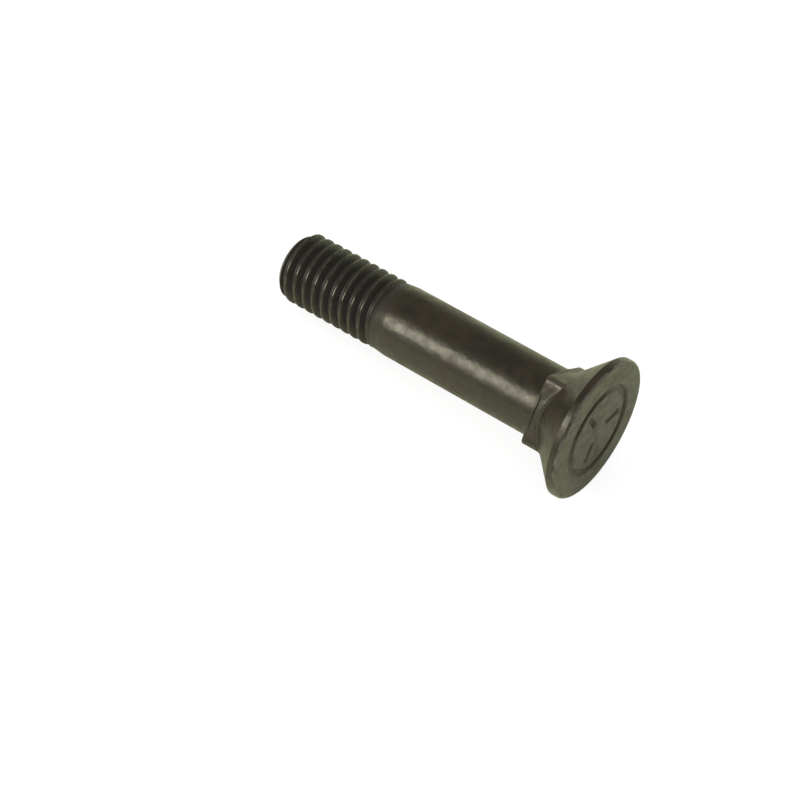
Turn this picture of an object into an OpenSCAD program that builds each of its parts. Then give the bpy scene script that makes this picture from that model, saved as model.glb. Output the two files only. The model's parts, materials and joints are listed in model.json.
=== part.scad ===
// Plow bolt: a forged countersunk head on a square neck, a plain shank and a rolled
// coarse thread, all one piece. It stands on its head. The origin is the centre of
// the head's face, and +Z runs along the bolt to the thread's tip. Millimetres.

/* [Head] */
// Diameter of the countersunk head
head_d = 25; // [21:0.5:32]
// Height of the straight rim between the face and the cone
rim_h = 1.4; // [0.8:0.1:1.8]
// Rounding of the face's edge
rim_round = 0.6; // [0.2:0.1:0.7]
// Included angle of the cone
cone_angle = 90; // [80:1:100]
// Radius of the sweep from the cone into the neck
cone_fillet = 2.3; // [1:0.5:4]

/* [Face ring] */
// Outer diameter of the shallow ring that is pressed into the face
ring_d = 17; // [12:0.5:18]
// Width of the ring at the face
ring_w = 1.6; // [1:0.1:2.5]
// Depth of the ring
ring_depth = 0.35; // [0.1:0.05:0.6]

/* [Square neck] */
// Width across the flats of the neck
neck_w = 12.4; // [11.6:0.1:12.6]
// Rounding of the neck's four long edges
neck_round = 1; // [0.2:0.1:1.2]
// Distance from the face to the end of the neck
neck_end = 9.2; // [9:0.1:13]

/* [Shank] */
// Diameter of the plain shank
shank_d = 12.7; // [12.7:0.1:14]
// Length of the whole bolt, head included
bolt_l = 62; // [48:0.5:90]

/* [Thread] */
// Threads in each inch of length
threads_per_inch = 13; // [11:1:16]
// Diameter over the thread's crests
crest_d = 12.6; // [12.2:0.1:12.7]
// Diameter at the thread's root
root_d = 10.4; // [9.8:0.1:11]
// Length of the thread, from the tip
thread_l = 19.2; // [12:0.2:26]
// Diameter of the blank that the thread is rolled on
blank_d = 11.9; // [11.6:0.1:12.1]
// Length of the taper from the shank to the blank
runout_l = 3.4; // [2:0.1:5]
// Diameter of the flat at the tip
tip_d = 10; // [8:0.1:10.4]
// Length of the tip's chamfer
tip_l = 1.3; // [0.8:0.1:2]

/* [Hidden] */
$fn = 96;

// Round sections of the head and the neck
head_r = head_d / 2;
flat_r = neck_w / 2;
half_angle = cone_angle / 2;
// The sweep ends just inside the flats, so that the flats cut it cleanly
sweep_inset = 0.2;
sweep_r = flat_r - sweep_inset;
sweep_z = rim_h + (head_r - sweep_r) / tan(half_angle);
// The neck runs on past the foot of the cone by at least this much
neck_min = 0.8;
neck_z = max(neck_end, sweep_z + neck_min);
// The sweep takes at most this share of the room up to the neck's end
sweep_share = 0.95;
sweep_room = (neck_z - sweep_z) / tan(half_angle / 2);
fillet_r = min(cone_fillet, sweep_share * sweep_room);
fillet_t = fillet_r * tan(half_angle / 2);
// Each sloping wall of the ring takes a quarter of its width
ring_slope = ring_w / 4;
// The cut for the ring starts this far below the face
ring_over = 0.1;

// Heights along the bolt
thread_z = bolt_l - thread_l;
taper_z = thread_z - runout_l;

// The thread's section: places along one pitch, from root to root, and radii
pitch = 25.4 / threads_per_inch;
crest_r = crest_d / 2;
root_r = root_d / 2;
blank_r = blank_d / 2;
tip_r = tip_d / 2;
root_flat = 0.2;
crest_flat = 0.15;
flank = (1 - root_flat - crest_flat) / 2;
section_at = [0, root_flat, root_flat + flank, root_flat + flank + crest_flat];
section_rise = [0, 0, 1, 1];
section_n = len(section_at);
// Columns round one turn of the thread
turn_n = 36;
// The thread is rooted in the shank by a plain plug
plug_r = (root_r + blank_r) / 2;
plug_l = 1.2;
plug_lead = 0.2;
plug_z = thread_z - plug_l;
// The thread rises to its full height over this length
lead_l = 0.4 * pitch;
// The winding starts two turns below the plug and ends above the tip, where it closes on the axis
turns_below = 2;
close_l = pitch / 2;
wind_z = plug_z - turns_below * pitch;
wind_n = section_n * ceil((bolt_l + close_l - wind_z) / pitch);

function clamp01(x) = min(1, max(0, x));

// Height along the winding at column i, row j; the row nearest the tip's edge lies on it
function wind_raw(i, j) = wind_z + pitch * (floor(j / section_n) + section_at[j % section_n] + i / turn_n);
function is_edge_row(i, j) =
    j > 0
    && wind_raw(i, j - 1) + wind_raw(i, j) <= 2 * bolt_l
    && wind_raw(i, j) + wind_raw(i, j + 1) > 2 * bolt_l;
function wind_at(i, j) = is_edge_row(i, j) ? bolt_l : wind_raw(i, j);

// Radius of the thread at height z, where rise is 0 at the root and 1 at the crest
function tip_limit(z) = tip_r + (crest_r - tip_r) * (bolt_l - z) / tip_l;
function full_r(rise) = root_r + (crest_r - root_r) * rise;
function lead_in(z) = clamp01((z - thread_z - plug_lead) / lead_l);
function thread_r(z, rise) = min(plug_r + (full_r(rise) - plug_r) * lead_in(z), tip_limit(z));
function wind_r(z, rise) =
    z < plug_z ? plug_r * (1 - (plug_z - z) / pitch)
    : z < bolt_l ? thread_r(z, rise)
    : tip_r * (1 - (z - bolt_l) / pitch);

function wind_point(i, j) =
    let (
        a = 360 * i / turn_n,
        z = wind_at(i, j),
        r = wind_r(z, section_rise[j % section_n])
    )
    [r * cos(a), r * sin(a), min(bolt_l, max(plug_z, z))];

// One column after another, then a point on the axis for each end. The first column goes
// one pitch higher than the rest, and the last column joins on to it there.
col_n = wind_n + 1;
first_n = col_n + section_n;
plug_id = first_n + (turn_n - 1) * col_n;
tip_id = plug_id + 1;
function wind_id(i, j) =
    i == turn_n ? wind_id(0, j + section_n)
    : wind_raw(i, j) < plug_z - close_l ? plug_id
    : wind_raw(i, j) > bolt_l + close_l ? tip_id
    : i == 0 ? j
    : first_n + (i - 1) * col_n + j;

// The two triangles of each patch of the winding
function lower_half(i, j) = [wind_id(i, j), wind_id(i, j + 1), wind_id(i + 1, j)];
function upper_half(i, j) = [wind_id(i + 1, j), wind_id(i, j + 1), wind_id(i + 1, j + 1)];
function is_whole(t) = t[0] != t[1] && t[1] != t[2] && t[2] != t[0];

// Outline of the head's half section, with its rim's edge and the sweep into the neck
module head_section() {
    tangent_r = sweep_r + fillet_t * sin(half_angle);
    tangent_z = sweep_z - fillet_t * cos(half_angle);
    difference() {
        union() {
            polygon([
                [0, 0],
                [head_r - rim_round, 0],
                [head_r - rim_round, rim_round],
                [head_r, rim_round],
                [head_r, rim_h],
                [tangent_r, tangent_z],
                [sweep_r, sweep_z + fillet_t],
                [0, sweep_z + fillet_t]
            ]);
            translate([head_r - rim_round, rim_round]) circle(r = rim_round);
        }
        translate([sweep_r + fillet_r, sweep_z + fillet_t]) circle(r = fillet_r);
    }
}

// Outline of the ring's half section, with sloping walls
module ring_section() {
    outer_r = ring_d / 2;
    inner_r = outer_r - ring_w;
    polygon([
        [inner_r, -ring_over],
        [inner_r, 0],
        [inner_r + ring_slope, ring_depth],
        [outer_r - ring_slope, ring_depth],
        [outer_r, 0],
        [outer_r, -ring_over]
    ]);
}

module head() {
    difference() {
        rotate_extrude() head_section();
        rotate_extrude() ring_section();
    }
}

// Square neck with rounded long edges, from inside the cone to the shank
module neck() {
    edge_at = flat_r - neck_round;
    translate([0, 0, rim_h]) linear_extrude(neck_z - rim_h) union() {
        square([neck_w, 2 * edge_at], center = true);
        square([2 * edge_at, neck_w], center = true);
        for (x = [-edge_at, edge_at])
            for (y = [-edge_at, edge_at])
                translate([x, y]) circle(r = neck_round);
    }
}

// Plain shank, and its taper down to the thread's blank
module shank() {
    translate([0, 0, neck_z]) cylinder(h = taper_z - neck_z, d = shank_d);
    translate([0, 0, taper_z]) cylinder(h = runout_l, d1 = shank_d, d2 = blank_d);
}

// Right-hand thread, wound as one skin that closes over its plug and its tip
module thread() {
    wound = [
        for (i = [0 : turn_n - 1])
            for (j = [0 : (i == 0 ? first_n : col_n) - 1])
                wind_point(i, j)
    ];
    ends = [[0, 0, plug_z], [0, 0, bolt_l]];
    skin = [
        for (i = [0 : turn_n - 1])
            for (j = [0 : wind_n - 1])
                for (t = [lower_half(i, j), upper_half(i, j)])
                    if (is_whole(t)) t
    ];
    polyhedron(points = concat(wound, ends), faces = skin);
}

module bolt() {
    color("#35332f") union() {
        head();
        neck();
        shank();
        thread();
    }
}

bolt();
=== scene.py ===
"""Looks of a plow bolt: a forged blank with a square neck and a rolled thread, in oiled black oxide."""
import json
import math
from collections import namedtuple

import bpy
from bpy.props import FloatProperty, FloatVectorProperty, IntProperty, PointerProperty
from bpy.types import Operator, Panel, PropertyGroup
from mathutils import Matrix, Vector


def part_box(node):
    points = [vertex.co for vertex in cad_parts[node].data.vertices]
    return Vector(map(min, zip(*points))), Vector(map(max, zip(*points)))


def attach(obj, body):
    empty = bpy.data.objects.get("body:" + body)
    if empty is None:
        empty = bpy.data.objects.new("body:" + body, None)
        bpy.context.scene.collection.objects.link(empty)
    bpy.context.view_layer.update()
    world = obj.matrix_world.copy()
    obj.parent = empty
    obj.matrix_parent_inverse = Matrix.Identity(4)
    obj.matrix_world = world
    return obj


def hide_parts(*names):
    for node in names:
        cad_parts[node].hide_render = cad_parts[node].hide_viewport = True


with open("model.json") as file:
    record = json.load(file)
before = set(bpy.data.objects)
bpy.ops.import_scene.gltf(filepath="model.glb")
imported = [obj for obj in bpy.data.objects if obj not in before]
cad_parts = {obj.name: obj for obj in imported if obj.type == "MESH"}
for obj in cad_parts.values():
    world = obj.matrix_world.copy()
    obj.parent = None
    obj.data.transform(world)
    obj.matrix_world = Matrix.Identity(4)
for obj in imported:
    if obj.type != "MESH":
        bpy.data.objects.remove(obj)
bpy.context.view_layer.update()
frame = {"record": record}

bl_info = {
    "name": "Plow Bolt",
    "version": (1, 0, 0),
    "blender": (4, 5, 0),
    "location": "3D View > Sidebar > Plow Bolt",
    "description": "Forms a black oxide plow bolt and its studio",
    "category": "Object",
}

MM = 0.001
INCH = 25.4 * MM
THREADS_PER_INCH = 13
UP = Vector((0, 0, 1))
WHITE = (1.0, 1.0, 1.0)
BOLT_LOW, BOLT_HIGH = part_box("bolt")
MOUNTS = {mount["name"]: mount for mount in frame["record"]["mounts"]}


# Settings

def length(label, words, default):
    """A property for a length in metres."""
    return FloatProperty(name=label, description=words, default=default, min=0.0, unit="LENGTH", precision=5)


def share(label, words, default):
    """A property for a number from 0 to 1."""
    return FloatProperty(name=label, description=words, default=default, min=0.0, max=1.0, subtype="FACTOR")


def angle(label, words, degrees):
    """A property for an angle, given in degrees."""
    return FloatProperty(name=label, description=words, default=math.radians(degrees), subtype="ANGLE")


def amount(label, words, default, low=0.0):
    """A property for a plain number that isn't below low."""
    return FloatProperty(name=label, description=words, default=default, min=low)


def whole(label, words, default, low):
    """A property for a whole number that isn't below low."""
    return IntProperty(name=label, description=words, default=default, min=low)


def colour(label, words, default):
    """A property for a linear colour."""
    return FloatVectorProperty(
        name=label, description=words, default=default, min=0.0, max=1.0, size=3, subtype="COLOR"
    )


def place(label, words, default):
    """A property for a point in metres."""
    return FloatVectorProperty(
        name=label, description=words, default=default, size=3, subtype="TRANSLATION", precision=5
    )


class PlowBoltSizes(PropertyGroup):
    """Sizes of the bolt."""

    head_diameter: length("Head diameter", "Across the countersunk head", BOLT_HIGH.x - BOLT_LOW.x)
    rim_height: length("Rim height", "Straight rim between the face and the cone", 1.4 * MM)
    rim_round: length("Rim round", "Rounding of the face's edge", 0.45 * MM)
    shoulder_round: length("Shoulder round", "Rounding between the rim and the cone", 0.2 * MM)
    cone_angle: angle("Cone angle", "Included angle of the countersunk cone", 90)
    cone_fillet: length("Cone fillet", "Sweep from the cone into the neck", 2.3 * MM)
    ring_diameter: length("Ring diameter", "Outside of the ring pressed into the face", 17 * MM)
    ring_width: length("Ring width", "Width of that ring at the face", 1.6 * MM)
    ring_depth: length("Ring depth", "Depth of that ring", 0.35 * MM)
    neck_width: length("Neck width", "Across the flats of the square neck", 12.4 * MM)
    neck_end: length("Neck end", "From the face to the end of the neck", 9.2 * MM)
    neck_corner: amount("Neck corner", "How crisp the neck's corners are", 14.0, 4.0)
    neck_blend: length("Neck blend", "Softness where the cone meets the neck", 0.6 * MM)
    shank_diameter: length(
        "Shank diameter", "Across the plain shank", 2 * MOUNTS["shank"]["dims"]["r_mm"] * MM
    )
    bolt_length: length("Bolt length", "From the face to the tip", BOLT_HIGH.z - BOLT_LOW.z)
    thread_length: length("Thread length", "From the tip", 19.2 * MM)
    thread_pitch: length("Thread pitch", "From crest to crest", INCH / THREADS_PER_INCH)
    crest_diameter: length("Crest diameter", "Over the thread's crests", 12.6 * MM)
    root_diameter: length("Root diameter", "At the thread's root", 10.4 * MM)
    blank_diameter: length("Blank diameter", "Of the blank that the thread is rolled on", 11.9 * MM)
    taper_length: length("Taper length", "From the shank down to the blank", 3.4 * MM)
    lead_length: length("Lead length", "Stretch of the taper on which the thread runs out", 1.2 * MM)
    tip_diameter: length("Tip diameter", "Of the flat at the tip", 10 * MM)
    tip_length: length("Tip length", "Of the tip's chamfer", 1.3 * MM)
    crest_phase: share("Crest phase", "Where in its turn the thread starts", 0.986)
    dash_count: whole("Dashes", "Grade dashes stamped in the face", 3, 0)
    dash_inner: length("Dash start", "Inner end of each dash, from the axis", 2.2 * MM)
    dash_outer: length("Dash end", "Outer end of each dash, from the axis", 6.0 * MM)
    dash_width: length("Dash width", "Width of each dash", 1.2 * MM)
    dash_depth: length("Dash depth", "Depth of each dash", 0.35 * MM)
    columns: whole("Columns", "Facets round the bolt", 160, 32)


class PlowBoltFinish(PropertyGroup):
    """Colours and gloss of the black oxide."""

    black: colour("Oxide black", "Deep colour of the oxide", (0.006, 0.0052, 0.005))
    brown: colour("Oxide brown", "Warm patches of the oxide", (0.021, 0.0125, 0.009))
    olive: colour("Oxide olive", "Thin oxide on worn faces", (0.018, 0.018, 0.011))
    # Painted shade: this dull coat darkens the recesses and the foot of the taper, as shade would
    shade_coat: colour("Grime", "Oil and dust that sit in the hollows", (0.022, 0.021, 0.018))
    # Painted glint as well as worn steel: this light colour on the edges also stands in for the softbox's
    # glints
    bare_and_glint: colour("Rubbed edge", "Steel that shows at rubbed edges", (0.26, 0.245, 0.21))
    sheen: colour("Sheen tint", "Tint of the oiled surface's reflection", (1.0, 0.98, 0.82))
    roughness: share("Roughness", "Roughness of the oiled oxide", 0.32)
    ior: amount("IOR", "How strongly the oxide mirrors", 1.6, 1.0)


class PlowBoltStage(PropertyGroup):
    """Camera, table and light."""

    azimuth: angle("Camera azimuth", "Round the bolt, 0 looks along +Y", 22.1)
    elevation: angle("Camera elevation", "Above the plane of the head's face", -23.94)
    roll: angle("Camera roll", "Turn of the camera about its own axis", -60.09)
    distance: length("Camera distance", "From the point that it aims at", 355.98 * MM)
    aim: place("Camera aim", "Point in the middle of the frame", (-10.42 * MM, -4.89 * MM, 32.36 * MM))
    lens: amount("Lens", "Focal length in millimetres on a 36 mm sensor", 96.75)
    rest_side: angle("Rest side", "Side of the bolt that lies on the table", 139.52)
    glare: amount("Glare", "Level of the light from all round", 1.4)
    room: share("Room", "Level of the dark room overhead, as the bolt mirrors it", 0.45)
    mirror_tint: colour("Mirror tint", "Tint of the white paper, as the bolt mirrors it", (0.55, 0.57, 0.39))
    key: amount("Key", "Power of the softbox in watts", 1.05)


# Wiring of node trees

class Wire:
    """A node's output that takes part in Python arithmetic: each operation adds one Math node."""

    def __init__(self, tree, socket):
        self.tree = tree
        self.socket = socket

    def math(self, operation, *others):
        """This value first, then the others."""
        values = dict(enumerate((self, *others)))
        return add_node(self.tree, "ShaderNodeMath", {"operation": operation}, values)

    def after(self, operation, other):
        """The other value first, then this one."""
        values = {0: other, 1: self}
        return add_node(self.tree, "ShaderNodeMath", {"operation": operation}, values)

    def __add__(self, other):
        return self.math("ADD", other)

    def __sub__(self, other):
        return self.math("SUBTRACT", other)

    def __mul__(self, other):
        return self.math("MULTIPLY", other)

    def __truediv__(self, other):
        return self.math("DIVIDE", other)

    def __pow__(self, other):
        return self.math("POWER", other)

    def __radd__(self, other):
        return self.after("ADD", other)

    def __rsub__(self, other):
        return self.after("SUBTRACT", other)

    def __rmul__(self, other):
        return self.after("MULTIPLY", other)

    def __rtruediv__(self, other):
        return self.after("DIVIDE", other)

    def __abs__(self):
        return self.math("ABSOLUTE")

    def out(self, name):
        """Another output of the same node."""
        return Wire(self.tree, self.socket.node.outputs[name])


def find_socket(sockets, key):
    """A socket by its number, its identifier or its name."""
    if isinstance(key, int):
        return sockets[key]
    for socket in sockets:
        if socket.identifier == key:
            return socket
    return sockets[key]


def add_node(tree, kind, settings=None, values=None, output=0):
    """Adds a node: its settings first, then the value or link of each socket named."""
    made = tree.nodes.new(kind)
    for name, setting in (settings or {}).items():
        setattr(made, name, setting)
    for key, value in (values or {}).items():
        socket = find_socket(made.inputs, key)
        if isinstance(value, Wire):
            tree.links.new(value.socket, socket)
        else:
            socket.default_value = value
    if not made.outputs:
        return made
    return Wire(tree, find_socket(made.outputs, output))


def mix_colour(factor, first, second):
    """One colour or the other, by factor."""
    values = {"Factor_Float": factor, "A_Color": first, "B_Color": second}
    return add_node(factor.tree, "ShaderNodeMix", {"data_type": "RGBA"}, values, "Result_Color")


def mix_shader(factor, first, second):
    """One shader or the other, by factor."""
    return add_node(factor.tree, "ShaderNodeMixShader", values={0: factor, 1: first, 2: second})


def blend(first, second, part):
    """Two values in one, of which the second has the given part."""
    return first * (1 - part) + second * part


def ramp(value, low, high, smooth=True):
    """0 below low and 1 above high, with a soft or a straight rise between."""
    settings = {"interpolation_type": "SMOOTHSTEP" if smooth else "LINEAR", "clamp": True}
    values = {"Value": value, "From Min": low, "From Max": high}
    return add_node(value.tree, "ShaderNodeMapRange", settings, values)


def rgba(linear):
    """A linear colour with full alpha."""
    return (*linear, 1.0)


class Tree:
    """A node tree that is filled through one method."""

    def __init__(self, tree):
        self.tree = tree

    def node(self, kind, settings=None, values=None, output=0):
        """Adds one node to this tree."""
        return add_node(self.tree, kind, settings, values, output)


class Shading(Tree):
    """The emptied node tree of a material or of the world."""

    def __init__(self, owner):
        owner.use_nodes = True
        super().__init__(owner.node_tree)
        self.tree.nodes.clear()


def add_object(name, data):
    """An object in the scene."""
    made = bpy.data.objects.new(name, data)
    bpy.context.scene.collection.objects.link(made)
    return made


# The blank's half section

# Spacing of the rows of points
FACE_STEP = 0.22 * MM
RING_STEP = 0.1 * MM
BORDER_STEP = 0.44 * MM
CONE_STEP = 0.25 * MM
NECK_STEP = 0.25 * MM
SHANK_STEP = 1.5 * MM
TAPER_STEP = 0.3 * MM
THREAD_STEP = 0.085 * MM
TIP_STEP = 0.6 * MM
ROUND_STEPS = 8
# How far the columns of points move towards the neck's corners, in radians
CORNER_CROWDING = 0.15
# Each sloping wall of the ring takes this share of its width
RING_SLOPE = 0.25
# The cone's sweep ends this far inside the neck's flats
SWEEP_INSET = 0.2 * MM
# Rounding of the neck's end, how its ledge steps down, and where the shank starts beyond it
NECK_ROUND = 0.35 * MM
LEDGE_PARTS = (0.66, 0.33, 0.08)
LEDGE_CLEAR = NECK_ROUND / 4
# How much painted shade darkens the ring and the foot of the taper
RING_SHADE = 0.45
TAPER_SHADE = 0.75

# A row of points: its radius and height, then its weights for forming and for the finish; the last weight is
# painted shade
Station = namedtuple("Station", "r z neck thread edge hollow", defaults=(0.0, 0.0, 0.0, 0.0))
WEIGHTS = ("neck", "thread", "edge", "hollow")


def spread(start, end, step):
    """Evenly spaced numbers from start to end, about step apart, without the end itself."""
    count = max(1, round(abs(end - start) / step))
    return [start + (end - start) * i / count for i in range(count)]


def ease(x):
    """A soft rise from 0 to 1."""
    x = min(1.0, max(0.0, x))
    return x * x * (3 - 2 * x)


def arc(centre_r, centre_z, radius, start, end):
    """Points of an arc in the half section, from angle start to end in degrees."""
    turns = [math.radians(start + (end - start) * i / ROUND_STEPS) for i in range(ROUND_STEPS + 1)]
    return [(centre_r + radius * math.cos(t), centre_z + radius * math.sin(t)) for t in turns]


def face_stations(sizes):
    """The face from beside its centre to the rim's round, with the pressed ring."""
    outer = sizes.ring_diameter / 2
    inner = outer - sizes.ring_width
    slope = sizes.ring_width * RING_SLOPE
    radii = spread(FACE_STEP, inner, FACE_STEP)
    radii += spread(inner, outer, RING_STEP)
    radii += spread(outer, sizes.head_diameter / 2 - sizes.rim_round, BORDER_STEP)
    hollows = [ease((r - inner) / slope) * ease((outer - r) / slope) for r in radii]
    # The pressed ring also carries painted shade, which darkens its groove
    return [Station(r, sizes.ring_depth * h, hollow=RING_SHADE * h) for r, h in zip(radii, hollows)]


def rim_stations(sizes):
    """The rim's rounded edge, its straight band and its shoulder to the cone."""
    head_r = sizes.head_diameter / 2
    half = sizes.cone_angle / 2
    edge_round = sizes.rim_round
    shoulder_round = sizes.shoulder_round
    shoulder_z = sizes.rim_height - shoulder_round * math.tan((math.pi / 2 - half) / 2)
    edge = arc(head_r - edge_round, edge_round, edge_round, -90, 0)
    shoulder = arc(head_r - shoulder_round, shoulder_z, shoulder_round, 0, 90 - math.degrees(half))
    # Worn steel and painted glint along the middle of the face's edge round
    wear_and_glint = [math.sin(math.pi * i / ROUND_STEPS) for i in range(ROUND_STEPS + 1)]
    rows = [Station(r, z, edge=wear_glint) for (r, z), wear_glint in zip(edge, wear_and_glint)]
    return rows + [Station(r, z) for r, z in shoulder]


def cone_stations(sizes):
    """The cone, its sweep into the neck, and the round that the neck is swollen from."""
    head_r = sizes.head_diameter / 2
    half = sizes.cone_angle / 2
    fillet = sizes.cone_fillet
    sweep_r = sizes.neck_width / 2 - SWEEP_INSET
    sweep_z = sizes.rim_height + (head_r - sweep_r) / math.tan(half)
    tangent = fillet * math.tan(half / 2)
    radii = spread(head_r - sizes.shoulder_round, sweep_r + tangent * math.sin(half), CONE_STEP)
    cone = [(r, sizes.rim_height + (head_r - r) / math.tan(half)) for r in radii]
    sweep = arc(sweep_r + fillet, sweep_z + tangent, fillet, 180 + math.degrees(half), 180)
    top = sizes.neck_end - NECK_ROUND
    rows = [Station(r, z, neck=1.0) for r, z in cone + sweep if z < top]
    rows += [Station(sweep_r, z, neck=1.0) for z in spread(rows[-1].z, top, NECK_STEP)[1:]]
    return rows


def neck_end_stations(sizes):
    """The rounded end of the neck's corners, and the ledge down to the shank."""
    shank_r = sizes.shank_diameter / 2
    corner_r = sizes.neck_width / 2 * math.sqrt(2) * 0.5 ** (1 / sizes.neck_corner)
    rows = []
    for i in range(ROUND_STEPS + 1):
        turn = math.pi / 2 * i / ROUND_STEPS
        inset = NECK_ROUND * (1 - math.cos(turn))
        height = sizes.neck_end - NECK_ROUND * (1 - math.sin(turn))
        rows.append(Station(shank_r, height, neck=1 - inset / (corner_r - shank_r)))
    last = rows[-1].neck
    return rows + [Station(shank_r, sizes.neck_end, neck=last * part) for part in LEDGE_PARTS]


def thread_start(sizes):
    """Height at which the taper ends and the thread's length starts."""
    return sizes.bolt_length - sizes.thread_length


def blank_station(sizes, z, thread):
    """A row of the shank, its taper or the thread's blank; the painted shade is full half way down the taper.
    """
    down = min(1.0, max(0.0, 1 - (thread_start(sizes) - z) / sizes.taper_length))
    diameter = sizes.shank_diameter + (sizes.blank_diameter - sizes.shank_diameter) * down
    return Station(diameter / 2, z, thread=thread, hollow=TAPER_SHADE * ease(2 * down))


def shank_stations(sizes):
    """The plain shank, and its taper up to where the thread runs out."""
    taper_z = thread_start(sizes) - sizes.taper_length
    heights = spread(sizes.neck_end + LEDGE_CLEAR, taper_z, SHANK_STEP)
    heights += spread(taper_z, thread_start(sizes) - sizes.lead_length, TAPER_STEP)
    return [blank_station(sizes, z, 0.0) for z in heights]


def thread_stations(sizes):
    """The stretch that the thread is rolled on, and the flat of the tip."""
    start = thread_start(sizes) - sizes.lead_length
    heights = spread(start, sizes.bolt_length, THREAD_STEP) + [sizes.bolt_length]
    rows = [blank_station(sizes, z, 1.0) for z in heights]
    tip = spread(sizes.tip_diameter / 2, 0.0, TIP_STEP)[1:]
    return rows + [Station(r, sizes.bolt_length) for r in tip]


def skin_faces(rows, columns):
    """Faces between rows of points, and two fans that close on the last two points."""
    faces = []
    for row in range(rows - 1):
        for i in range(columns):
            here = row * columns + i
            beside = row * columns + (i + 1) % columns
            faces.append((here, beside, beside + columns, here + columns))
    face_centre = rows * columns
    tip_centre = face_centre + 1
    top = (rows - 1) * columns
    for i in range(columns):
        beside = (i + 1) % columns
        faces.append((face_centre, beside, i))
        faces.append((tip_centre, top + i, top + beside))
    return faces


def turn_blank(sizes):
    """A mesh of the whole half section turned round the axis, with the weights that forming needs."""
    stations = face_stations(sizes) + rim_stations(sizes) + cone_stations(sizes) + neck_end_stations(sizes)
    stations += shank_stations(sizes) + thread_stations(sizes)
    even = [2 * math.pi * i / sizes.columns for i in range(sizes.columns)]
    turns = [t + CORNER_CROWDING * math.sin(4 * t) for t in even]
    points = [(s.r * math.cos(t), s.r * math.sin(t), s.z) for s in stations for t in turns]
    points += [(0.0, 0.0, 0.0), (0.0, 0.0, sizes.bolt_length)]
    mesh = bpy.data.meshes.new("bolt_blank")
    mesh.from_pydata(points, [], skin_faces(len(stations), sizes.columns))
    for name in WEIGHTS:
        weights = [getattr(s, name) for s in stations for _ in turns] + [0.0, 0.0]
        mesh.attributes.new(name, "FLOAT", "POINT").data.foreach_set("value", weights)
    return mesh


# Forming: the neck, the thread and the dashes

# The neck's corners get worn steel and a painted glint by how far they stand out past the flats, as a ratio
CORNER_WEAR_GLINT_START = 1.30
CORNER_WEAR_GLINT_FULL = 1.37
# The worn steel and painted glint fade out towards the neck's ledge, and where the corners sink into the cone
LEDGE_WEAR_GLINT = 0.5
CONE_WEAR_GLINT_START = -0.2 * MM
CONE_WEAR_GLINT_FULL = 0.4 * MM
# Flats of the thread, as shares of a pitch
ROOT_FLAT = 0.2
CREST_FLAT = 0.15
# The thread has its full depth where this share of the lead is left
LEAD_LEFT = 0.25
# Crests with worn steel and painted glints, and crests kept out of the painted shade
CREST_WEAR_GLINT_START = 0.85
CREST_SHINE = 0.25
CREST_SHADE_FREE = 0.95
# Soft edges of the dashes, their painted shade, and the height up to which a point is on the face
DASH_SOFTNESS = 0.3 * MM
DASH_SHADE = 0.6
FACE_REACH = 0.5 * MM


class Forming(Tree):
    """A Geometry Nodes tree that forms the blank, with a named input for each size."""

    def __init__(self, name):
        super().__init__(bpy.data.node_groups.new(name, "GeometryNodeTree"))
        for side in ("OUTPUT", "INPUT"):
            self.tree.interface.new_socket("Geometry", in_out=side, socket_type="NodeSocketGeometry")
        self.inputs = self.tree.nodes.new("NodeGroupInput")
        self.values = {}
        self.geometry = Wire(self.tree, self.inputs.outputs["Geometry"])

    def size(self, name, value):
        """A named input, and the value that it gets."""
        kind = "NodeSocketInt" if isinstance(value, int) else "NodeSocketFloat"
        socket = self.tree.interface.new_socket(name, in_out="INPUT", socket_type=kind)
        self.values[socket.identifier] = value
        return Wire(self.tree, find_socket(self.inputs.outputs, socket.identifier))

    def weight(self, name):
        """A weight that the blank carries."""
        settings = {"data_type": "FLOAT"}
        return self.node("GeometryNodeInputNamedAttribute", settings, {"Name": name}, "Attribute")

    def place(self):
        """Each point's x, y and height, and its distance from the axis."""
        position = self.node("GeometryNodeInputPosition")
        x = self.node("ShaderNodeSeparateXYZ", values={0: position})
        y = x.out("Y")
        return x, y, x.out("Z"), (x * x + y * y) ** 0.5

    def move(self, x, y, z):
        """Sets every point's place."""
        position = self.node("ShaderNodeCombineXYZ", values={0: x, 1: y, 2: z})
        values = {"Geometry": self.geometry, "Position": position}
        self.geometry = self.node("GeometryNodeSetPosition", values=values)

    def keep(self, name, value):
        """Keeps a weight on the points for the finish to read."""
        settings = {"data_type": "FLOAT", "domain": "POINT"}
        values = {"Geometry": self.geometry, "Name": name, "Value": value}
        self.geometry = self.node("GeometryNodeStoreNamedAttribute", settings, values)

    def close(self, material):
        """Ends the tree with real geometry, smooth faces and the finish."""
        solid = self.node("GeometryNodeRealizeInstances", values={"Geometry": self.geometry})
        solid = self.node("GeometryNodeSetShadeSmooth", values={"Geometry": solid})
        solid = self.node("GeometryNodeSetMaterial", values={"Geometry": solid, "Material": material})
        self.node("NodeGroupOutput", values={"Geometry": solid})


def forge_neck(form, sizes):
    """Swells the neck to a square that the cone sweeps into."""
    flat = form.size("Flat Radius", sizes.neck_width / 2)
    corner = form.size("Corner", sizes.neck_corner)
    softness = form.size("Blend", sizes.neck_blend)
    weight = form.weight("neck")
    x, y, z, r = form.place()
    square = flat / ((abs(x) / r) ** corner + (abs(y) / r) ** corner) ** (1 / corner)
    swollen = r + (r.math("SMOOTH_MAX", square, softness) - r) * weight
    # Worn steel and painted glint on the neck's corners
    wear_and_glint = ramp(square / flat, CORNER_WEAR_GLINT_START, CORNER_WEAR_GLINT_FULL) * ramp(weight, LEDGE_WEAR_GLINT, 1.0)
    wear_and_glint = wear_and_glint * ramp(square - r, CONE_WEAR_GLINT_START, CONE_WEAR_GLINT_FULL)
    form.keep("edge", form.weight("edge").math("MAXIMUM", wear_and_glint))
    form.move(x * swollen / r, y * swollen / r, z)


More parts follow.
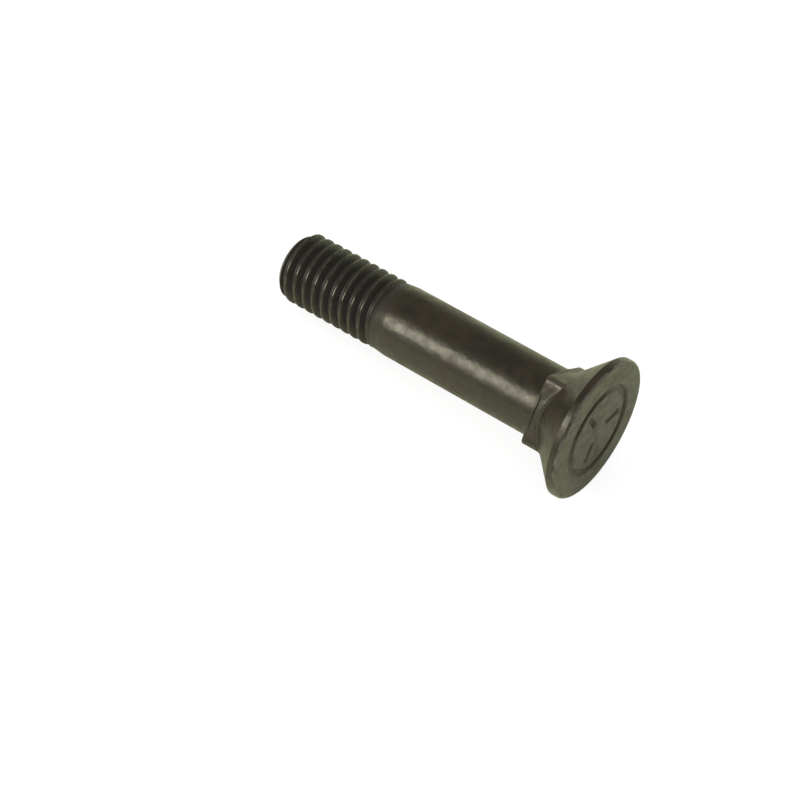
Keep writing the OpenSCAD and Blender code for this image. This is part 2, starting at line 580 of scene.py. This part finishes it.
def roll_thread(form, sizes):
    """Rolls a right-hand thread on the blank, with its lead-in and the tip's chamfer."""
    pitch = form.size("Pitch", sizes.thread_pitch)
    crest = form.size("Crest Radius", sizes.crest_diameter / 2)
    root = form.size("Root Radius", sizes.root_diameter / 2)
    start = form.size("Thread Start", thread_start(sizes))
    end = form.size("Thread End", sizes.bolt_length)
    lead_length = form.size("Lead Length", sizes.lead_length)
    tip = form.size("Tip Radius", sizes.tip_diameter / 2)
    tip_length = form.size("Tip Length", sizes.tip_length)
    phase = form.size("Crest Phase", sizes.crest_phase)
    weight = form.weight("thread")
    x, y, z, r = form.place()
    turn = y.math("ARCTAN2", x) / (2 * math.pi)
    wave = ((z - start) / pitch - turn - phase).math("FRACT")
    rise = ramp(abs(wave - 0.5) * 2, ROOT_FLAT, 1 - CREST_FLAT, smooth=False)
    lead = ramp(z, start - lead_length, start - lead_length * LEAD_LEFT)
    rolled = r + (root + (crest - root) * rise - r) * lead
    chamfer = tip + (crest - tip) * (end - z) / tip_length
    formed = r + (rolled.math("MINIMUM", chamfer) - r) * weight
    # Worn steel and painted glint on the crests
    wear_and_glint = ramp(rise, CREST_WEAR_GLINT_START, 1.0) * weight * lead * CREST_SHINE
    # Painted shade: the thread's grooves and flanks are darkened and dulled, its crests are kept nearly
    # clear, and the painted shade laid so far gives way where the thread is rolled
    grooves = (1 - rise * rise * CREST_SHADE_FREE) * weight * lead
    taper = form.weight("hollow") * (1 - weight * lead)
    form.keep("edge", form.weight("edge").math("MAXIMUM", wear_and_glint))
    form.keep("hollow", taper.math("MAXIMUM", grooves))
    form.move(x * formed / r, y * formed / r, z)


def stamp_dashes(form, sizes):
    """Stamps short radial dashes into the face, evenly round the axis."""
    count = form.size("Dash Count", max(1, sizes.dash_count))
    inner = form.size("Dash Inner", sizes.dash_inner)
    outer = form.size("Dash Outer", sizes.dash_outer)
    half_width = form.size("Dash Half Width", sizes.dash_width / 2)
    depth = form.size("Dash Depth", sizes.dash_depth if sizes.dash_count else 0.0)
    soft = form.size("Dash Softness", DASH_SOFTNESS)
    x, y, z, r = form.place()
    on_face = ramp(z, FACE_REACH, FACE_REACH / 2)
    step = 2 * math.pi / count
    folded = (y.math("ARCTAN2", x) / step).math("FRACT") - 0.5
    aside = abs((folded * step).math("SINE") * r)
    along = (folded * step).math("COSINE") * r
    mark = (1 - ramp(aside, half_width - soft, half_width)) * ramp(along, inner, inner + soft)
    mark = mark * (1 - ramp(along, outer - soft, outer)) * on_face
    # Painted shade: the stamped dashes are darkened in their recess
    form.keep("hollow", form.weight("hollow").math("MAXIMUM", mark * DASH_SHADE))
    form.move(x, y, z + depth * mark)


def form_bolt(sizes, material):
    """The finished bolt's object: the blank, formed and made a plain mesh."""
    blank = turn_blank(sizes)
    bolt = add_object("forged_bolt", blank)
    form = Forming("Bolt forming")
    forge_neck(form, sizes)
    roll_thread(form, sizes)
    stamp_dashes(form, sizes)
    form.close(material)
    modifier = bolt.modifiers.new("Forming", "NODES")
    modifier.node_group = form.tree
    for identifier, value in form.values.items():
        modifier[identifier] = value
    graph = bpy.context.evaluated_depsgraph_get()
    formed = bpy.data.meshes.new_from_object(bolt.evaluated_get(graph), depsgraph=graph)
    bolt.modifiers.remove(modifier)
    bolt.data = formed
    formed.name = "forged_bolt"
    bpy.data.meshes.remove(blank)
    return bolt


# The finish

# A noise in the bolt's own millimetres
Noise = namedtuple("Noise", "scale detail roughness stretch", defaults=(0.55, (1.0, 1.0, 1.0)))
GRAIN = Noise(2.6, 2.0)
WAVES = Noise(0.6, 1.5)
MOTTLE = Noise(0.55, 4.0, 0.6)
PATCH = Noise(0.16, 3.0, stretch=(1.0, 1.0, 0.5))
DRAW_LINES = Noise(1.0, 3.0, stretch=(3.2, 3.2, 0.22))
# Warm patches: part of the patches in their noise, and the noise from none to full
WARM_PATCH = 0.5
WARM_RANGE = (0.4, 0.7)
# Thin oxide: part of the draw lines in its noise, that noise from none to full, and how much it covers
THIN_DRAW = 0.35
THIN_RANGE = (0.45, 0.7)
THIN_COVER = 0.55
# Worn edges with painted glints: part of the grain in their noise, that noise from none to full, and how much
# they cover
WEAR_GLINT_GRAIN = 0.3
WEAR_GLINT_RANGE = (0.42, 0.66)
WEAR_GLINT_COVER = 0.6
# How far the painted shade goes to black
HOLLOW_SHADE = 0.7
# Changes of the roughness, and the edge weight from which an edge is fully polished
MOTTLE_GLOSS = 0.2
GRAIN_GLOSS = 0.08
EDGE_POLISH = 0.18
EDGE_POLISHED = 0.25
# Fine relief
GRAIN_RELIEF = 0.05
DRAW_RELIEF = 0.1
RELIEF_STRENGTH = 0.7
RELIEF_DEPTH = 0.1 * MM
# Dull coats over the oxide: stain on the warm patches, and painted shade in the recesses
STAIN_ROUGHNESS = 0.5
STAIN_SHEEN = 0.2
STAIN_COVER = 0.65
SHADE_COAT_ROUGHNESS = 0.55
SHADE_COAT_SHEEN = 0.25
SHADE_COAT_COVER = 0.8


def noise(coordinates, kind):
    """A noise over object coordinates."""
    tree = coordinates.tree
    scale = [part / MM for part in kind.stretch]
    vector = add_node(tree, "ShaderNodeMapping", values={"Vector": coordinates, "Scale": scale})
    values = {"Vector": vector, "Scale": kind.scale, "Detail": kind.detail, "Roughness": kind.roughness}
    return add_node(tree, "ShaderNodeTexNoise", values=values, output="Fac")


def dull_coat(linear, roughness, sheen, bump):
    """A dull coat that follows the oxide's relief."""
    values = {
        "Base Color": rgba(linear),
        "Roughness": roughness,
        "Specular IOR Level": sheen,
        "Normal": bump,
    }
    return add_node(bump.tree, "ShaderNodeBsdfPrincipled", values=values)


def black_oxide(finish):
    """Oiled black oxide on forged steel: mottled brown and olive, worn edges with painted glints, painted
    shade in the recesses, draw lines and fine grain.
    """
    material = bpy.data.materials.new("black_oxide_steel")
    node = Shading(material).node
    coordinates = node("ShaderNodeTexCoord", output="Object")
    edge = node("ShaderNodeAttribute", {"attribute_name": "edge"}, output="Fac")
    hollow = node("ShaderNodeAttribute", {"attribute_name": "hollow"}, output="Fac")
    grain = noise(coordinates, GRAIN)
    waves = noise(coordinates, WAVES)
    mottle = noise(coordinates, MOTTLE)
    patch = noise(coordinates, PATCH)
    draw_lines = noise(coordinates, DRAW_LINES)

    warm = ramp(blend(mottle, patch, WARM_PATCH), *WARM_RANGE)
    thin = ramp(blend(patch, draw_lines, THIN_DRAW), *THIN_RANGE)
    wear_and_glint = edge * ramp(blend(mottle, grain, WEAR_GLINT_GRAIN), *WEAR_GLINT_RANGE)
    oxide = mix_colour(warm, rgba(finish.black), rgba(finish.brown))
    oxide = mix_colour(thin * THIN_COVER, oxide, rgba(finish.olive))
    # Painted shade: the recesses and the taper's foot go towards black
    oxide = mix_colour(hollow * HOLLOW_SHADE, oxide, rgba(finish.black))
    # Worn steel and painted glint: the edges go towards the light bare colour
    oxide = mix_colour(wear_and_glint * WEAR_GLINT_COVER, oxide, rgba(finish.bare_and_glint))

    gloss = finish.roughness + (mottle - 0.5) * MOTTLE_GLOSS + (grain - 0.5) * GRAIN_GLOSS
    gloss = gloss - ramp(edge, 0.0, EDGE_POLISHED) * EDGE_POLISH
    relief = waves + grain * GRAIN_RELIEF + draw_lines * DRAW_RELIEF
    depth = {"Strength": RELIEF_STRENGTH, "Distance": RELIEF_DEPTH, "Height": relief}
    bump = node("ShaderNodeBump", values=depth)
    oiled = {
        "Base Color": oxide,
        "Roughness": gloss,
        "Metallic": wear_and_glint * WEAR_GLINT_COVER,
        "IOR": finish.ior,
        "Specular Tint": rgba(finish.sheen),
        "Normal": bump,
    }
    surface = node("ShaderNodeBsdfPrincipled", values=oiled)
    stain = dull_coat(finish.brown, STAIN_ROUGHNESS, STAIN_SHEEN, bump)
    shade_coat = dull_coat(finish.shade_coat, SHADE_COAT_ROUGHNESS, SHADE_COAT_SHEEN, bump)
    surface = mix_shader(warm * STAIN_COVER, surface, stain)
    # Painted shade: the dull dark coat over the recesses
    surface = mix_shader(hollow * SHADE_COAT_COVER, surface, shade_coat)
    node("ShaderNodeOutputMaterial", values={"Surface": surface})
    return material


class PLOWBOLT_OT_form_bolt(Operator):
    """Turn, forge, roll and finish the bolt"""

    bl_idname = "plowbolt.form_bolt"
    bl_label = "Form Bolt"

    def execute(self, context):
        scene = context.scene
        bolt = form_bolt(scene.plow_bolt_sizes, black_oxide(scene.plow_bolt_finish))
        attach(bolt, "root")
        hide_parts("bolt")
        return {"FINISHED"}


# The stage

SENSOR_WIDTH = 36.0
# Half the side of the table and of the floor, in metres, and how far the floor lies below the face
SHEET_REACH = 1.5
FLOOR_DROP = 0.15 * MM
# How much of the paper's white is its own light, as the camera sees it
PAPER_GLOW = 0.75
# The softbox's direction as the camera sees it: right, up and back
KEY_TOWARD = (-0.75, 0.07, 0.64)
# Its distance and its side, in metres, and its tint
KEY_DISTANCE = 0.45
KEY_SIDE = 0.2
KEY_TINT = (1.0, 0.97, 0.9)
# Sines of the heights between which the mirrored room goes from white to dark
HORIZON_LOW = 0.0
HORIZON_HIGH = 0.35


def camera_axes(stage):
    """A matrix of the camera's right, up and back directions, from its angles."""
    back = Vector((
        math.sin(stage.azimuth) * math.cos(stage.elevation),
        -math.cos(stage.azimuth) * math.cos(stage.elevation),
        math.sin(stage.elevation),
    ))
    level = (-back).to_track_quat("-Z", "Y").to_matrix()
    return level @ Matrix.Rotation(stage.roll, 3, "Z")


def add_camera(stage):
    """The camera, where the photograph was taken from."""
    data = bpy.data.cameras.new("photo_camera")
    data.lens = stage.lens
    data.sensor_width = SENSOR_WIDTH
    camera = add_object("photo_camera", data)
    axes = camera_axes(stage)
    spot = Vector(stage.aim) + axes.col[2] * stage.distance
    camera.matrix_world = Matrix.Translation(spot) @ axes.to_4x4()
    bpy.context.scene.camera = camera


def paper(name, mirror_tint, camera_only):
    """White paper that is clear from behind, and glows to the camera so that only a faint shadow shows."""
    material = bpy.data.materials.new(name)
    node = Shading(material).node
    rays = node("ShaderNodeLightPath", output="Is Camera Ray")
    tint = mix_colour(rays.out("Is Glossy Ray"), rgba(WHITE), rgba(mirror_tint))
    matte = node("ShaderNodeBsdfDiffuse", values={"Color": tint})
    white = node("ShaderNodeEmission", values={"Color": rgba(WHITE), "Strength": 1.0})
    clear = node("ShaderNodeBsdfTransparent")
    front = mix_shader(rays * PAPER_GLOW, matte, white)
    unseen = node("ShaderNodeNewGeometry", output="Backfacing")
    if camera_only:
        unseen = unseen.math("MAXIMUM", 1 - rays)
    sheet = mix_shader(unseen, front, clear)
    node("ShaderNodeOutputMaterial", values={"Surface": sheet})
    return material


def add_sheet(name, centre, normal, material):
    """A large flat sheet through a point, facing along normal."""
    across = normal.orthogonal().normalized() * SHEET_REACH
    along = normal.cross(across)
    corners = [(-1, -1), (1, -1), (1, 1), (-1, 1)]
    points = [centre + across * a + along * b for a, b in corners]
    mesh = bpy.data.meshes.new(name)
    mesh.from_pydata(points, [], [(0, 1, 2, 3)])
    mesh.materials.append(material)
    sheet = add_object(name, mesh)


def table_plane(stage, sizes):
    """A point of the table and its normal: it touches the rim and the last crest on the rest side."""
    side = Vector((math.cos(stage.rest_side), math.sin(stage.rest_side), 0.0))
    rim = side * (sizes.head_diameter / 2) + UP * sizes.rim_height
    crest = side * (sizes.crest_diameter / 2) + UP * (sizes.bolt_length - sizes.tip_length)
    normal = (crest - rim).cross(UP.cross(side)).normalized()
    return rim, normal


def add_key(stage, aim):
    """The softbox that draws the streak along the shank."""
    toward = (camera_axes(stage) @ Vector(KEY_TOWARD)).normalized()
    data = bpy.data.lights.new("key", "AREA")
    data.shape = "SQUARE"
    data.size = KEY_SIDE
    data.energy = stage.key
    data.color = KEY_TINT
    lamp = add_object("key", data)
    turn = toward.to_track_quat("Z", "Y").to_matrix()
    lamp.matrix_world = Matrix.Translation(aim + toward * KEY_DISTANCE) @ turn.to_4x4()


def add_world(stage, up):
    """White light from all round; where the bolt mirrors it, it is white low down and dark overhead."""
    world = bpy.data.worlds.new("studio")
    bpy.context.scene.world = world
    node = Shading(world).node
    mirrored = node("ShaderNodeLightPath", output="Is Glossy Ray")
    toward = node("ShaderNodeTexCoord", output="Generated")
    height = node("ShaderNodeVectorMath", {"operation": "DOT_PRODUCT"}, {0: toward, 1: up}, "Value")
    dark = mirrored * ramp(height, HORIZON_LOW, HORIZON_HIGH)
    lit = stage.glare - mirrored * (stage.glare - 1)
    level = lit * (1 - dark * (1 - stage.room))
    tint = mix_colour(mirrored, rgba(WHITE), rgba(stage.mirror_tint))
    light = node("ShaderNodeBackground", values={"Color": tint, "Strength": level})
    node("ShaderNodeOutputWorld", values={"Surface": light})


class PLOWBOLT_OT_set_stage(Operator):
    """Set the camera, the table, the floor, the softbox and the surrounding light"""

    bl_idname = "plowbolt.set_stage"
    bl_label = "Set Stage"

    def execute(self, context):
        scene = context.scene
        stage = scene.plow_bolt_stage
        sizes = scene.plow_bolt_sizes
        add_camera(stage)
        point, up = table_plane(stage, sizes)
        add_sheet("table", point, up, paper("table_paper", stage.mirror_tint, camera_only=False))
        add_sheet("floor", UP * -FLOOR_DROP, UP, paper("floor_paper", stage.mirror_tint, camera_only=True))
        add_key(stage, UP * (sizes.bolt_length / 2))
        add_world(stage, up)
        scene.view_settings.view_transform = "Standard"
        return {"FINISHED"}


class PLOWBOLT_PT_panel(Panel):
    """The bolt's sizes, finish and stage"""

    bl_label = "Plow Bolt"
    bl_idname = "PLOWBOLT_PT_panel"
    bl_space_type = "VIEW_3D"
    bl_region_type = "UI"
    bl_category = "Plow Bolt"

    def draw(self, context):
        layout = self.layout
        scene = context.scene
        layout.operator(PLOWBOLT_OT_form_bolt.bl_idname)
        layout.operator(PLOWBOLT_OT_set_stage.bl_idname)
        for title, group in (
            ("Sizes", scene.plow_bolt_sizes),
            ("Finish", scene.plow_bolt_finish),
            ("Stage", scene.plow_bolt_stage),
        ):
            box = layout.box()
            box.label(text=title)
            for name in group.__annotations__:
                box.prop(group, name)


CLASSES = (
    PlowBoltSizes,
    PlowBoltFinish,
    PlowBoltStage,
    PLOWBOLT_OT_form_bolt,
    PLOWBOLT_OT_set_stage,
    PLOWBOLT_PT_panel,
)


def register():
    for cls in CLASSES:
        bpy.utils.register_class(cls)
    bpy.types.Scene.plow_bolt_sizes = PointerProperty(type=PlowBoltSizes)
    bpy.types.Scene.plow_bolt_finish = PointerProperty(type=PlowBoltFinish)
    bpy.types.Scene.plow_bolt_stage = PointerProperty(type=PlowBoltStage)


def unregister():
    del bpy.types.Scene.plow_bolt_stage
    del bpy.types.Scene.plow_bolt_finish
    del bpy.types.Scene.plow_bolt_sizes
    for cls in reversed(CLASSES):
        bpy.utils.unregister_class(cls)


def main():
    """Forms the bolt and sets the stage."""
    register()
    bpy.ops.plowbolt.form_bolt()
    bpy.ops.plowbolt.set_stage()


if __name__ == "__main__":
    main()
